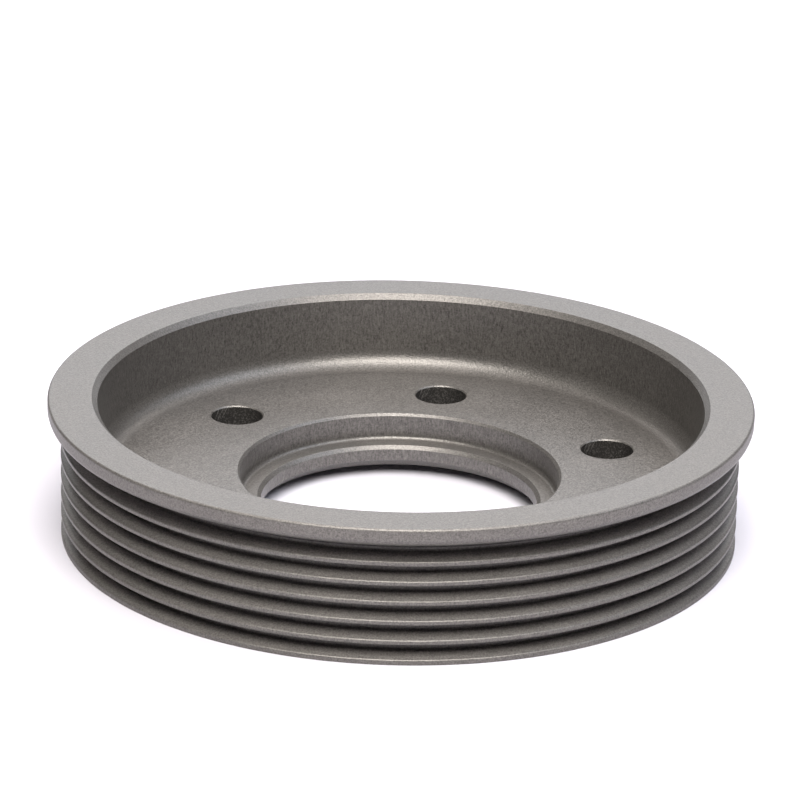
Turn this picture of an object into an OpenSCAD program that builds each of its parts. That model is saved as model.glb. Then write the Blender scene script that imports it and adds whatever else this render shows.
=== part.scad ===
// Six-rib poly-V drive pulley, turned and drilled from one aluminium billet.
// Origin: centre of the bottom rim face. +Z runs up the axis to the belt flange.

/* [Belt rim] */
// Number of belt grooves cut in the rim
groove_count = 6; // [6:1:8]
// Distance from one rib crest to the next, PK belt section
groove_pitch = 3.56; // [3.5:0.01:3.6]
// Outside diameter over the rib crests
rib_od = 121.34; // [120.6:0.02:123]
// Included angle of the groove walls, in degrees
groove_angle = 40; // [38:1:42]
// Width of the flat crest between two grooves, before its edges are broken
crest_w = 0.75; // [0.6:0.05:0.9]
// Radius of the full round at the groove root
root_r = 0.5; // [0.35:0.05:0.6]
// Edge break on each rib crest
crest_break = 0.18; // [0.05:0.01:0.25]
// Axial distance from the flange top to the centre of the missing first crest
first_crest = 3.59; // [3.2:0.01:4.6]
// Land below the centre of the last crest, down to the rim foot
last_land = 0.55; // [0.45:0.05:2]

/* [Flange] */
// Outside diameter of the belt flange
flange_od = 126; // [124:0.1:130]
// Edge break round the top of the flange
flange_break = 0.2; // [0.1:0.05:0.5]
// Radius that rounds the belt side of the flange's rim
flange_round = 1.5; // [0.5:0.1:2]
// Slope of the flange's belt side, in degrees from flat
flange_slope = 24; // [20:0.5:26]

/* [Dish] */
// Diameter of the dished recess inside the rim
dish_d = 108.26; // [104:0.02:109]
// Depth from the flange top to the web
dish_depth = 14.5; // [12:0.1:16]
// Chamfer at the mouth of the dish
dish_chamfer = 1.0; // [0.5:0.1:1.5]
// Fillet radius where the dish wall meets the web
dish_fillet = 3.5; // [1:0.1:6]

/* [Web] */
// Thickness of the web
web_t = 9.15; // [8:0.05:9.2]
// Diameter of the shallow recess under the web
recess_d = 104; // [96:0.5:108]
// Fillet radius in the corner of the shallow recess
recess_fillet = 0.8; // [0.4:0.1:1.2]
// Edge break at the mouth of the shallow recess
foot_break = 0.2; // [0.1:0.05:0.5]

/* [Centre bore] */
// Pilot bore diameter
bore_d = 49.7; // [46:0.05:50]
// Chamfer at the top of the pilot bore
bore_top_chamfer = 0.65; // [0.3:0.05:0.8]
// Chamfer at the bottom of the pilot bore
bore_bottom_chamfer = 1.45; // [0.5:0.05:1.6]
// Counterbore diameter
counterbore_d = 57.3; // [56:0.05:60]
// Counterbore depth below the web top
counterbore_depth = 4.95; // [4.5:0.05:5.2]
// Fillet radius at the foot of the counterbore wall
counterbore_fillet = 0.8; // [0.4:0.1:1]
// Chamfer at the mouth of the counterbore
counterbore_chamfer = 0.45; // [0.2:0.05:0.8]

/* [Bolt holes] */
// Number of bolt holes
bolt_count = 6; // [3:1:8]
// Pitch circle diameter of the bolt holes
bolt_pcd = 80; // [76:0.5:84]
// Bolt hole diameter
bolt_d = 9.5; // [6:0.1:10.5]
// Chamfer on both ends of each bolt hole
bolt_chamfer = 0.22; // [0.1:0.02:0.5]
// Angle of the first bolt hole from +X, in degrees
bolt_phase = 19.3; // [0:0.1:60]

/* [Hidden] */
$fn = 180;

// Heights, all from the rim foot
height = first_crest + groove_count * groove_pitch + last_land;
web_top = height - dish_depth;
web_bottom = web_top - web_t;
ledge_z = web_top - counterbore_depth;

// Radii
crest_r = rib_od / 2;
flange_r = flange_od / 2;
dish_r = dish_d / 2;
bore_r = bore_d / 2;
counterbore_r = counterbore_d / 2;
recess_r = recess_d / 2;

// Groove section: half opening at the crest, and where the root round meets
// the straight walls
half_angle = groove_angle / 2;
groove_half = (groove_pitch - crest_w) / 2;
apex_depth = groove_half / tan(half_angle);
root_centre = crest_r - apex_depth + root_r / sin(half_angle);
root_tangent_r = root_centre - root_r * sin(half_angle);
root_tangent_half = root_r * cos(half_angle);

// Height of groove i's centre, the first one under the flange
function groove_z(i) = height - first_crest - (i + 0.5) * groove_pitch;

// One side's crest corner, broken: from the wall (side = 1 is the upper wall)
function crest_corner(i, side) =
    let (z = groove_z(i) + side * groove_half,
         wall = [crest_r - crest_break, z - side * crest_break * tan(half_angle)],
         land = [crest_r, z + side * crest_break])
    side > 0 ? [land, wall] : [wall, land];

// Points of groove i down the rim. The first groove's upper wall is the belt
// side of the flange.
function groove_points(i) = concat(
    i == 0 ? [] : crest_corner(i, 1),
    [[root_tangent_r, groove_z(i) + root_tangent_half],
     [root_tangent_r, groove_z(i) - root_tangent_half]],
    crest_corner(i, -1));

// Height at which the flange's sloping underside meets its outside diameter
flange_under = groove_z(0) + root_tangent_half
    + (flange_r - root_tangent_r) * tan(flange_slope);

// Centre of the round on the flange's belt side
flange_round_x = flange_r - flange_round;
flange_round_z = flange_under + flange_round * (1 / cos(flange_slope) - tan(flange_slope));

// Half section of the pulley as x = radius, y = height
module half_section() {
    difference() {
        polygon(concat(
            // pilot bore, ledge and counterbore, from the bottom up
            [[bore_r + bore_bottom_chamfer, web_bottom],
             [bore_r, web_bottom + bore_bottom_chamfer],
             [bore_r, ledge_z - bore_top_chamfer],
             [bore_r + bore_top_chamfer, ledge_z],
             [counterbore_r - counterbore_fillet, ledge_z],
             [counterbore_r, ledge_z + counterbore_fillet],
             [counterbore_r, web_top - counterbore_chamfer],
             [counterbore_r + counterbore_chamfer, web_top]],
            // web top, dish wall and mouth
            [[dish_r - dish_fillet, web_top],
             [dish_r, web_top + dish_fillet],
             [dish_r, height - dish_chamfer],
             [dish_r + dish_chamfer, height]],
            // flange
            [[flange_r - flange_break, height],
             [flange_r, height - flange_break],
             [flange_r, flange_under]],
            // grooves
            [for (i = [0:groove_count - 1]) each groove_points(i)],
            // rim foot and the shallow recess under the web
            [[crest_r, crest_break],
             [crest_r - crest_break, 0],
             [recess_r + foot_break, 0],
             [recess_r, foot_break],
             [recess_r, web_bottom - recess_fillet],
             [recess_r - recess_fillet, web_bottom]]));
        // round on the flange's belt side
        translate([flange_round_x, flange_round_z])
            difference() {
                polygon(2 * flange_round
                    * [[0, 0], [1, 0], [1, -1], [sin(flange_slope), -cos(flange_slope)]]);
                circle(r = flange_round);
            }
        // rounded internal corners
        translate([dish_r - dish_fillet, web_top + dish_fillet])
            circle(r = dish_fillet);
        translate([counterbore_r - counterbore_fillet, ledge_z + counterbore_fillet])
            circle(r = counterbore_fillet);
        translate([recess_r - recess_fillet, web_bottom - recess_fillet])
            circle(r = recess_fillet);
        for (i = [0:groove_count - 1])
            translate([root_centre, groove_z(i)]) circle(r = root_r);
    }
}

// One bolt hole through the web, chamfered at both ends
module bolt_hole() {
    r = bolt_d / 2;
    translate([0, 0, web_bottom - 1]) cylinder(r = r, h = web_t + 2);
    translate([0, 0, web_top - bolt_chamfer])
        cylinder(r1 = r, r2 = r + 2 * bolt_chamfer, h = 2 * bolt_chamfer);
    translate([0, 0, web_bottom - bolt_chamfer])
        cylinder(r1 = r + 2 * bolt_chamfer, r2 = r, h = 2 * bolt_chamfer);
}

// The whole pulley
module pulley() {
    color([0.42, 0.40, 0.38])
    difference() {
        rotate_extrude() half_section();
        for (i = [0:bolt_count - 1])
            rotate([0, 0, bolt_phase + i * 360 / bolt_count])
                translate([bolt_pcd / 2, 0, 0]) bolt_hole();
    }
}

pulley();
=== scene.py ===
import math

import bpy
from mathutils import Matrix, Vector


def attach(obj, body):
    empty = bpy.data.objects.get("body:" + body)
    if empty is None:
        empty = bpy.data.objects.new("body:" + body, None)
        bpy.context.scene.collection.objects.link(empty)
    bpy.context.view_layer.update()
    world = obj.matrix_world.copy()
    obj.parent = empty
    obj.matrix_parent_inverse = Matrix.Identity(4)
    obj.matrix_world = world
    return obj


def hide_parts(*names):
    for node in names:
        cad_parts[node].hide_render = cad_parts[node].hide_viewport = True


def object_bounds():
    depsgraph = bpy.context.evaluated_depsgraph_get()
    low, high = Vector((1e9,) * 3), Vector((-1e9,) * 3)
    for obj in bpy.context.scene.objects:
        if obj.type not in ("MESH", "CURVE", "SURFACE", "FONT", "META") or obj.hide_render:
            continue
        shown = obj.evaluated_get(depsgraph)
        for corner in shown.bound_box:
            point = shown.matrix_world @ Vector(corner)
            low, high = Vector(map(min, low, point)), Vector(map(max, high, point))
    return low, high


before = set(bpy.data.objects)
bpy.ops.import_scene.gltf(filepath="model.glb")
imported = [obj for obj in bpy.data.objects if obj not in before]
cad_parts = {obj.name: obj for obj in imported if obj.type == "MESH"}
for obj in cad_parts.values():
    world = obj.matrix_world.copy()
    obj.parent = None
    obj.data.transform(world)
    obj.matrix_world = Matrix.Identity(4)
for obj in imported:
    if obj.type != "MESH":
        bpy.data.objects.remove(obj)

CAD_LO, CAD_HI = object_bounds()
MM = 0.001

# ---------------------------------------------------------------- sizes, mm
# All heights run from the rim's foot. The CAD box gives the outside sizes.
HEIGHT = (CAD_HI[2] - CAD_LO[2]) / MM
FLANGE_R = (CAD_HI[0] - CAD_LO[0]) / 2 / MM
PITCH = 3.56
GROOVES = 6
CREST_R = 60.67
CREST_HALF = 0.375
HALF_ANGLE = math.radians(20)
ROOT_ROUND = 0.5
FIRST_CREST = 3.59
DISH_R = 54.13
WEB_TOP = HEIGHT - 14.5
WEB_BOTTOM = WEB_TOP - 9.15
LEDGE = WEB_TOP - 4.95
BORE_R = 24.85
COUNTER_R = 28.65
RECESS_R = 52.0
BOLT_R = 4.75
BOLT_PCR = 40.0
BOLT_PHASE = math.radians(19.3)
BOLTS = 6

# ---------------------------------------------------------------- profile


def rounded(points, step=math.radians(11)):
    """A polyline with its corners rounded. Each point is (x, y, radius).
    Returns [(x, y, nx, ny)], the normal on the left of the way along."""
    out = []
    n = len(points)
    for i, (x, y, r) in enumerate(points):
        p = Vector((x, y))
        if i == 0 or i == n - 1:
            q = Vector(points[1][:2]) if i == 0 else p
            o = p if i == 0 else Vector(points[i - 1][:2])
            d = (q - o).normalized()
            out.append((x, y, -d.y, d.x))
            continue
        a = (p - Vector(points[i - 1][:2])).normalized()
        b = (Vector(points[i + 1][:2]) - p).normalized()
        turn = math.atan2(a.x * b.y - a.y * b.x, a.dot(b))
        t = r * math.tan(abs(turn) / 2)
        s = 1 if turn > 0 else -1
        start = p - a * t
        centre = start + Vector((-a.y, a.x)) * r * s
        steps = max(2, math.ceil(abs(turn) / step))
        n0 = math.atan2(a.x, -a.y)
        for k in range(steps + 1):
            ang = n0 + turn * k / steps
            nx, ny = math.cos(ang), math.sin(ang)
            out.append((centre.x - s * r * nx, centre.y - s * r * ny, nx, ny))
    return out


def split_long(chain, longest):
    """More points along the straight runs of a chain."""
    out = [chain[0]]
    for a, b in zip(chain, chain[1:]):
        gap = math.hypot(b[0] - a[0], b[1] - a[1])
        flat = abs(a[2] * b[2] + a[3] * b[3]) > 0.9999
        steps = math.ceil(gap / longest) if flat and gap > longest else 1
        for k in range(1, steps + 1):
            f = k / steps
            out.append(tuple(a[j] + (b[j] - a[j]) * f for j in range(2)) + ((b[2], b[3]) if k == steps else (a[2], a[3])))
    return out


def outer_points():
    """From the web's top, up the dish wall, over the flange, down the grooves
    and round the foot to the web's underside. Metal is on the right."""
    tan = math.tan(HALF_ANGLE)
    pts = [
        (DISH_R - 6.0, WEB_TOP, 0),
        (DISH_R, WEB_TOP, 3.5),
        (DISH_R, HEIGHT - 1.0, 0.10),
        (DISH_R + 1.0, HEIGHT, 0.10),
        (FLANGE_R, HEIGHT, 0.50),
    ]
    groove_half = PITCH / 2 - CREST_HALF
    apex = CREST_R - groove_half / tan
    # the flange's belt side slopes down to the first groove's root
    z = HEIGHT - FIRST_CREST - PITCH / 2
    slope = math.tan(math.radians(24))
    root_r = apex + ROOT_ROUND / math.sin(HALF_ANGLE) - ROOT_ROUND * math.sin(HALF_ANGLE)
    root_z = z + ROOT_ROUND * math.cos(HALF_ANGLE)
    pts.append((FLANGE_R, root_z + (FLANGE_R - root_r) * slope, 1.5))
    first = (z - groove_half + CREST_R * tan - root_z + root_r * slope) / (slope + tan)
    for i in range(GROOVES):
        z = HEIGHT - FIRST_CREST - (i + 0.5) * PITCH
        if i:
            pts.append((CREST_R, z + groove_half, 0.34))
            pts.append((apex, z, ROOT_ROUND))
        else:
            pts.append((first, z - groove_half + (CREST_R - first) * tan, ROOT_ROUND))
        pts.append((CREST_R, z - groove_half, 0.34))
    pts += [
        (CREST_R, 0, 0.14),
        (RECESS_R, 0, 0.22),
        (RECESS_R, WEB_BOTTOM, 0.8),
        (RECESS_R - 3.0, WEB_BOTTOM, 0),
    ]
    return pts


def inner_points():
    """From the web's underside, up the stepped bore to the web's top."""
    return [
        (BORE_R + 3.0, WEB_BOTTOM, 0),
        (BORE_R + 1.45, WEB_BOTTOM, 0.12),
        (BORE_R, WEB_BOTTOM + 1.45, 0.12),
        (BORE_R, LEDGE - 0.65, 0.10),
        (BORE_R + 0.65, LEDGE, 0.10),
        (COUNTER_R, LEDGE, 0.8),
        (COUNTER_R, WEB_TOP - 0.45, 0.08),
        (COUNTER_R + 0.45, WEB_TOP, 0.08),
        (COUNTER_R + 2.6, WEB_TOP, 0),
    ]


# ---------------------------------------------------------------- mesh
K = 84  # steps round one bolt's sector
N = K * BOLTS
START = BOLT_PHASE - math.pi / BOLTS


class Build:
    def __init__(self):
        self.co, self.no, self.faces, self.zone, self.uv = [], [], [], [], []

    def vert(self, p, n):
        self.co.append(tuple(c * MM for c in p))
        self.no.append(tuple(n))
        return len(self.co) - 1

    def face(self, idx, zone, uv=None):
        self.faces.append(idx)
        self.zone.append(zone)
        self.uv.append(uv or [(0.0, 0.0)] * len(idx))

    def ring(self, point):
        r, z, nr, nz = point
        out = []
        for j in range(N):
            a = START + 2 * math.pi * j / N
            c, s = math.cos(a), math.sin(a)
            out.append(self.vert((r * c, r * s, z), (nr * c, nr * s, nz)))
        return out

    def strip(self, a, b, zone):
        """Quads between two rings, where the chain runs from a to b with the
        metal on its right."""
        for j in range(N):
            k = (j + 1) % N
            self.face([a[j], b[j], b[k], a[k]], zone)


def chain_rings(build, chain, zone_of):
    rings = [build.ring(p) for p in chain]
    for (p, q), a, b in zip(zip(chain, chain[1:]), rings, rings[1:]):
        build.strip(a, b, zone_of(p, q))
    return rings


def web_face(build, inner, outer, r_in, r_out, z, up):
    """A flat annulus with the bolt holes in it. Its edges are two rings that
    are already there. Returns the loop of vertices round each hole's mouth,
    with the angle of each about the hole's own centre."""
    m = 30
    spokes = []  # the radial line between two sectors
    for s in range(BOLTS):
        a = START + 2 * math.pi * s / BOLTS
        line = []
        for j in range(1, m + 1):
            r = r_in + (r_out - r_in) * j / (m + 1)
            line.append(build.vert((r * math.cos(a), r * math.sin(a), z), (0, 0, up)))
        spokes.append(line)
    mouths = []
    mouth_r = BOLT_R + 0.22 + 0.02
    for s in range(BOLTS):
        t = (s + 1) % BOLTS
        loop = [inner[(s * K + j) % N] for j in range(K + 1)]
        loop += spokes[t]
        loop += [outer[((s + 1) * K - j) % N] for j in range(K + 1)]
        loop += spokes[s][::-1]
        a = BOLT_PHASE + 2 * math.pi * s / BOLTS
        cx, cy = BOLT_PCR * math.cos(a), BOLT_PCR * math.sin(a)
        angles, far = [], []
        for v in loop:
            x, y = build.co[v][0] / MM - cx, build.co[v][1] / MM - cy
            angles.append(math.atan2(y, x))
            far.append((x, y))
        prev = loop
        cuts = (0.62, 0.36, 0.19, 0.09, 0.035, 0.0)
        for f in cuts:
            cur = []
            for (x, y), b in zip(far, angles):
                d = math.hypot(x, y)
                r = mouth_r + (d - mouth_r) * f
                cur.append(build.vert((cx + r * math.cos(b), cy + r * math.sin(b), z), (0, 0, up)))
            for j in range(len(loop)):
                k = (j + 1) % len(loop)
                quad = [prev[j], prev[k], cur[k], cur[j]]
                build.face(quad if up < 0 else quad[::-1], "web")
            prev = cur
        mouths.append((prev, angles, (cx, cy)))
    return mouths


def hole_walls(build, tops, bottoms):
    """Chamfer, drilled wall and chamfer of each bolt hole, between the mouth
    in the web's top and the one in its underside."""
    c = 0.22
    prof = rounded([
        (BOLT_R + c + 0.6, WEB_BOTTOM, 0), (BOLT_R + c, WEB_BOTTOM, 0.05),
        (BOLT_R, WEB_BOTTOM + c, 0.05), (BOLT_R, WEB_TOP - c, 0.05),
        (BOLT_R + c, WEB_TOP, 0.05), (BOLT_R + c + 0.6, WEB_TOP, 0)])[1:-1]
    prof = split_long(prof, 0.9)
    for (top, angles, (cx, cy)), (bottom, low_angles, _) in zip(tops, bottoms):
        # both mouths share the same count and nearly the same angles: the
        # wall turns evenly from one to the other
        def line(i):
            r, z, nr, nz = prof[i]
            f = (z - WEB_BOTTOM) / (WEB_TOP - WEB_BOTTOM)
            out = []
            for b0, b1 in zip(low_angles, angles):
                d = math.atan2(math.sin(b1 - b0), math.cos(b1 - b0))
                b = b0 + d * f
                out.append((cx + r * math.cos(b), cy + r * math.sin(b), z, nr * math.cos(b), nr * math.sin(b), nz, b))
            return out
        rows = [line(i) for i in range(len(prof))]
        ids = [bottom]
        for row in rows[1:-1]:
            ids.append([build.vert(p[:3], p[3:6]) for p in row])
        ids.append(top)
        n = len(top)
        for i in range(len(ids) - 1):
            wall = abs(prof[i][0] - BOLT_R) < 1e-6 and abs(prof[i + 1][0] - BOLT_R) < 1e-6
            for j in range(n):
                k = (j + 1) % n
                ua, ub = rows[i][j][6], rows[i][k][6]
                ub = ua + math.atan2(math.sin(ub - ua), math.cos(ub - ua))
                u0, u1 = ua * BOLT_R, ub * BOLT_R
                v0, v1 = prof[i][1], prof[i + 1][1]
                build.face([ids[i][j], ids[i + 1][j], ids[i + 1][k], ids[i][k]],
                           "drill" if wall else "web",
                           [(u0, v0), (u0, v1), (u1, v1), (u1, v0)])


def zone_outer(p, q):
    r, z = (p[0] + q[0]) / 2, (p[1] + q[1]) / 2
    if abs(r - DISH_R) < 0.02 and z < HEIGHT - 1.1:
        return "wall"
    if r > 57.5 and z < HEIGHT - 0.05 and z > 0.2:
        return "groove"
    return "face"


def zone_inner(p, q):
    r = (p[0] + q[0]) / 2
    if abs(r - COUNTER_R) < 0.02 or abs(r - BORE_R) < 0.02:
        return "wall"
    return "face"


def make_pulley():
    build = Build()
    outer = rounded(outer_points())[1:-1]
    inner = rounded(inner_points())[1:-1]
    outer, inner = split_long(outer, 3.0), split_long(inner, 3.0)
    outer_rings = chain_rings(build, outer, zone_outer)
    inner_rings = chain_rings(build, inner, zone_inner)
    tops = web_face(build, inner_rings[-1], outer_rings[0], inner[-1][0], outer[0][0], WEB_TOP, 1)
    bottoms = web_face(build, inner_rings[0], outer_rings[-1], inner[0][0], outer[-1][0], WEB_BOTTOM, -1)
    hole_walls(build, tops, bottoms)
    # every face turned so that it looks the way its vertices' normals do
    faces, uvs = [], []
    for idx, uv in zip(build.faces, build.uv):
        a, b, c = (Vector(build.co[v]) for v in idx[:3])
        d = Vector(build.co[idx[-1]])
        n = (c - a).cross(d - b)
        want = sum((Vector(build.no[v]) for v in idx), Vector())
        if n.dot(want) < 0:
            idx, uv = idx[::-1], uv[::-1]
        faces.append(idx)
        uvs.append(uv)
    mesh = bpy.data.meshes.new("pulley_body")
    mesh.from_pydata(build.co, [], faces)
    zones = ["face", "wall", "groove", "web", "drill"]
    mesh.polygons.foreach_set("material_index", [zones.index(z) for z in build.zone])
    layer = mesh.uv_layers.new(name="drill")
    layer.data.foreach_set("uv", [c for uv in uvs for p in uv for c in p])
    mesh.polygons.foreach_set("use_smooth", [True] * len(faces))
    mesh.update()
    mesh.validate()
    mesh.normals_split_custom_set_from_vertices(build.no)
    return mesh


# ---------------------------------------------------------------- materials


def socket(node, name, value):
    node.inputs[name].default_value = value


class Nodes:
    """Small helper for building a material's nodes."""

    def __init__(self, name):
        self.mat = bpy.data.materials.new(name)
        self.mat.use_nodes = True
        self.tree = self.mat.node_tree
        self.tree.nodes.clear()
        self.out = self.new("ShaderNodeOutputMaterial")

    def new(self, kind, **attrs):
        n = self.tree.nodes.new(kind)
        for k, v in attrs.items():
            setattr(n, k, v)
        return n

    def link(self, a, b):
        self.tree.links.new(a, b)

    def math(self, op, a, b=None):
        n = self.new("ShaderNodeMath", operation=op)
        for i, v in enumerate((a, b)):
            if v is None:
                continue
            if isinstance(v, (int, float)):
                n.inputs[i].default_value = v
            else:
                self.link(v, n.inputs[i])
        return n.outputs[0]

    def noise(self, vector, scale, detail=2.0, rough=0.5):
        n = self.new("ShaderNodeTexNoise")
        socket(n, "Scale", scale)
        socket(n, "Detail", detail)
        socket(n, "Roughness", rough)
        self.link(vector, n.inputs["Vector"])
        return n.outputs["Fac"]

    def between(self, value, low, high):
        n = self.new("ShaderNodeMapRange", interpolation_type="SMOOTHSTEP")
        socket(n, "From Min", low)
        socket(n, "From Max", high)
        self.link(value, n.inputs["Value"])
        return n.outputs[0]

    def stretch(self, vector, scale):
        n = self.new("ShaderNodeMapping")
        socket(n, "Scale", scale)
        self.link(vector, n.inputs["Vector"])
        return n.outputs["Vector"]


BASE = (0.1425, 0.134, 0.1265)
ROUGH = 0.38
METAL = 0.6
# painted light: the belt side's base colour is made 10 per cent lighter than the other zones, standing in for light
# that falls on it
ZONE_PAINTED_LIGHT = {"face": 1.0, "wall": 1.0, "groove": 1.1, "drill": 1.0}


def anodised(name, kind, contrast):
    """Blasted and hard-anodised aluminium. kind sets what the tool left under the
    finish: a plain face, a turned wall, a groove (which also gets painted shade
    and light), or a drilled hole. contrast is how far the grain's tone swings either way."""
    t = Nodes(name)
    coord = t.new("ShaderNodeTexCoord").outputs["Object"]
    xyz = t.new("ShaderNodeSeparateXYZ")
    t.link(coord, xyz.inputs[0])
    x, y, z = xyz.outputs
    radius = t.math("SQRT", t.math("ADD", t.math("MULTIPLY", x, x), t.math("MULTIPLY", y, y)))
    ring = t.new("ShaderNodeCombineXYZ")
    t.link(radius, ring.inputs[0])
    t.link(z, ring.inputs[1])
    ring = ring.outputs[0]

    grain = t.noise(coord, 3400.0, 2.0, 0.6)       # blasted grain
    fleck = t.noise(coord, 1700.0, 1.0, 0.5)
    cloud = t.noise(coord, 70.0, 3.0, 0.55)        # slow change in the film
    if kind == "wall":
        streak = t.noise(t.stretch(coord, (1.0, 1.0, 0.3)), 3200.0, 2.0, 0.6)
        grain = t.math("ADD", t.math("MULTIPLY", grain, 0.45), t.math("MULTIPLY", streak, 0.55))
    turn = t.noise(ring, 2600.0, 3.0, 0.6)         # lines left by turning

    tone = t.math("ADD", t.math("MULTIPLY", grain, 0.78), t.math("MULTIPLY", fleck, 0.14))
    tone = t.math("ADD", tone, t.math("MULTIPLY", cloud, 0.08))
    ramp = t.new("ShaderNodeValToRGB")
    e = ramp.color_ramp.elements
    e[0].position, e[1].position = 0.30, 0.70
    dark, light = 1.0 - contrast, 1.0 + contrast
    if kind == "drill":
        # a dark drilled wall, scored here and there as the drill came out
        uv = t.new("ShaderNodeUVMap", uv_map="drill").outputs[0]
        turned = t.new("ShaderNodeMapping")
        socket(turned, "Rotation", (0.0, 0.0, math.radians(-32)))
        t.link(uv, turned.inputs["Vector"])
        marks = t.noise(t.stretch(turned.outputs["Vector"], (1.0, 0.05, 1.0)), 2.6, 3.0, 0.7)
        patch = t.noise(t.stretch(uv, (1.0, 0.2, 1.0)), 0.28, 1.0, 0.5)
        score = t.math("MULTIPLY", t.between(marks, 0.55, 0.66), t.between(patch, 0.46, 0.60))
        tone = t.math("ADD", t.math("MULTIPLY", tone, 0.62), t.math("MULTIPLY", score, 0.36))
        dark, light = 0.40, 3.0
    # painted light: the zone's base colour is lifted where more light should fall (the belt side)
    base = tuple(c * ZONE_PAINTED_LIGHT[kind] for c in BASE)
    e[0].color = tuple(c * dark for c in base) + (1.0,)
    e[1].color = tuple(c * light for c in base) + (1.0,)
    t.link(tone, ramp.inputs[0])
    colour = ramp.outputs[0]
    if kind == "groove":
        # painted shade and light, set by radius: darker in the groove roots where shade falls, lighter on the groove
        # walls, and a little less light again on the crests
        groove_shade_and_light = t.math("ADD", 0.7, t.math("MULTIPLY", t.between(radius, 0.0581, 0.0587), 0.50))
        groove_shade_and_light = t.math("SUBTRACT", groove_shade_and_light, t.math("MULTIPLY", t.between(radius, 0.0601, 0.0606), 0.20))
        scaled = t.new("ShaderNodeVectorMath", operation="SCALE")
        t.link(colour, scaled.inputs[0])
        t.link(groove_shade_and_light, scaled.inputs["Scale"])
        colour = scaled.outputs[0]

    height = t.math("ADD", t.math("MULTIPLY", grain, 0.75), t.math("MULTIPLY", fleck, 0.25))
    if kind in ("groove", "wall"):
        height = t.math("ADD", height, t.math("MULTIPLY", turn, 0.35 if kind == "groove" else 0.2))
    if kind == "drill":
        height = t.math("ADD", height, t.math("MULTIPLY", marks, 1.6))

    bump = t.new("ShaderNodeBump")
    socket(bump, "Strength", 1.0)
    socket(bump, "Distance", 0.00007)
    t.link(height, bump.inputs["Height"])

    rough = t.new("ShaderNodeMapRange")
    film = ROUGH + (0.07 if kind == "groove" else 0.0)
    for k, v in (("From Min", 0.3), ("From Max", 0.7), ("To Min", film - 0.04), ("To Max", film + 0.05)):
        socket(rough, k, v)
    t.link(t.math("ADD", t.math("MULTIPLY", fleck, 0.5), t.math("MULTIPLY", cloud, 0.5)), rough.inputs["Value"])

    shader = t.new("ShaderNodeBsdfPrincipled")
    socket(shader, "Metallic", METAL)
    t.link(colour, shader.inputs["Base Color"])
    t.link(rough.outputs[0], shader.inputs["Roughness"])
    t.link(bump.outputs[0], shader.inputs["Normal"])
    t.link(shader.outputs[0], t.out.inputs[0])
    return t.mat


def white(name, value):
    t = Nodes(name)
    coord = t.new("ShaderNodeTexCoord").outputs["Object"]
    ramp = t.new("ShaderNodeValToRGB")
    e = ramp.color_ramp.elements
    cool = (value * 0.98, value * 0.96, value * 1.055)
    e[0].color = tuple(c * 0.985 for c in cool) + (1.0,)
    e[1].color = cool + (1.0,)
    t.link(t.noise(coord, 12.0), ramp.inputs[0])
    shader = t.new("ShaderNodeBsdfPrincipled")
    socket(shader, "Roughness", 0.9)
    t.link(ramp.outputs[0], shader.inputs["Base Color"])
    t.link(shader.outputs[0], t.out.inputs[0])
    return t.mat


# ---------------------------------------------------------------- the pulley
pulley_mesh = make_pulley()
pulley = bpy.data.objects.new("pulley_body", pulley_mesh)
bpy.context.scene.collection.objects.link(pulley)
# the groove material carries painted shade in the roots and painted light on the walls and belt side
for label, kind, contrast in (("anodised_face", "face", 0.36), ("anodised_wall", "wall", 0.62),
                              ("anodised_groove_painted_light", "groove", 0.40), ("anodised_web", "face", 0.58),
                              ("anodised_drilled", "drill", 0.5)):
    pulley_mesh.materials.append(anodised(label, kind, contrast))
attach(pulley, "root")
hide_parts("pulley")

# ---------------------------------------------------------------- the stage
CENTRE = Vector(((CAD_LO[0] + CAD_HI[0]) / 2, (CAD_LO[1] + CAD_HI[1]) / 2, CAD_LO[2]))
TOP = Vector((CENTRE.x, CENTRE.y, CAD_HI[2]))

floor_mesh = bpy.data.meshes.new("floor")
half, cells = 2.0, 8
verts = [(CENTRE.x + half * (2 * i / cells - 1), CENTRE.y + half * (2 * j / cells - 1), CENTRE.z)
         for j in range(cells + 1) for i in range(cells + 1)]
floor_mesh.from_pydata(verts, [], [
    [j * (cells + 1) + i, j * (cells + 1) + i + 1, (j + 1) * (cells + 1) + i + 1, (j + 1) * (cells + 1) + i]
    for j in range(cells) for i in range(cells)])
floor = bpy.data.objects.new("floor", floor_mesh)
bpy.context.scene.collection.objects.link(floor)
floor_mesh.materials.append(white("floor_white", 0.64))

# light panels: azimuth (0 is the camera's side, 90 is +X) and elevation in
# degrees, distance and size in metres, colour, and the radiance it shows
PANELS = {
    "overhead": (0, 90, 1.1, (0.8, 0.8), (1.0, 0.94, 0.91), 2.75),
    "front_high": (0, 55, 1.1, (0.9, 0.6), (1.0, 0.971, 0.921), 13.90),
    "back_high": (180, 55, 1.1, (0.9, 0.6), (1.0, 0.966, 0.948), 4.45),
    "left_high": (-90, 50, 1.1, (0.9, 0.6), (1.0, 1.0, 0.9), 0.20),
    "right_high": (90, 50, 1.1, (0.9, 0.6), (0.769, 0.854, 1.0), 2.60),
    "back_low": (180, 20, 1.1, (1.1, 0.6), (0.926, 0.952, 1.0), 1.88),
}


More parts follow.
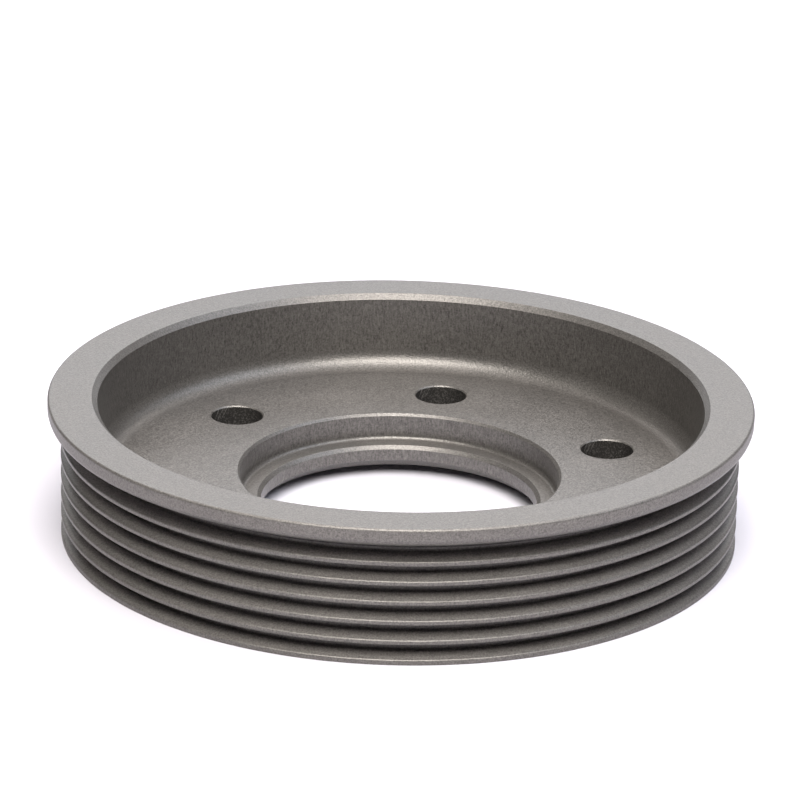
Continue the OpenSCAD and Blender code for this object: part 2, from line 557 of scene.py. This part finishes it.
def panel(name, azimuth, elevation, distance, size, colour, radiance):
    data = bpy.data.lights.new(name, "AREA")
    data.shape = "RECTANGLE"
    data.size, data.size_y = size
    data.color = colour
    # an area lamp's power over its area and pi is the radiance that it shows
    data.energy = radiance * math.pi * size[0] * size[1]
    lamp = bpy.data.objects.new(name, data)
    a, e = math.radians(azimuth), math.radians(elevation)
    way = Vector((math.sin(a) * math.cos(e), -math.cos(a) * math.cos(e), math.sin(e)))
    lamp.location = TOP + way * distance
    lamp.rotation_euler = (-way).to_track_quat("-Z", "Y").to_euler()
    bpy.context.scene.collection.objects.link(lamp)
    return lamp


for label, spec in PANELS.items():
    panel(label, *spec)

world = bpy.data.worlds.new("studio")
world.use_nodes = True
sky = world.node_tree
sky.nodes["Background"].inputs["Color"].default_value = (1.0, 1.0, 1.0, 1.0)
# a white room behind the object that adds no light of its own
path = sky.nodes.new("ShaderNodeLightPath")
sky.links.new(path.outputs["Is Camera Ray"], sky.nodes["Background"].inputs["Strength"])
bpy.context.scene.world = world
bpy.context.scene.view_settings.view_transform = "Standard"

# ---------------------------------------------------------------- the camera
cam_data = bpy.data.cameras.new("camera")
cam_data.sensor_width = 36.0
cam_data.lens = 195.245
cam_data.clip_start = 0.01
cam_data.clip_end = 20.0
camera = bpy.data.objects.new("camera", cam_data)
bpy.context.scene.collection.objects.link(camera)
E, ROLL, AX, AY, DIST = 0.360404886, -0.0235775569, -0.000286571, -0.00107962965, 0.774249268
right = Vector((1, 0, 0))
up = Vector((0, math.sin(E), math.cos(E)))
ahead = Vector((0, math.cos(E), -math.sin(E)))
right, ahead = right * math.cos(AX) - ahead * math.sin(AX), right * math.sin(AX) + ahead * math.cos(AX)
up, ahead = up * math.cos(AY) - ahead * math.sin(AY), up * math.sin(AY) + ahead * math.cos(AY)
right, up = right * math.cos(ROLL) - up * math.sin(ROLL), right * math.sin(ROLL) + up * math.cos(ROLL)
turn = Matrix((right, up, -ahead)).transposed()
camera.matrix_world = Matrix.Translation(TOP + Vector((0, -math.cos(E), math.sin(E))) * DIST) @ turn.to_4x4()
bpy.context.scene.camera = camera
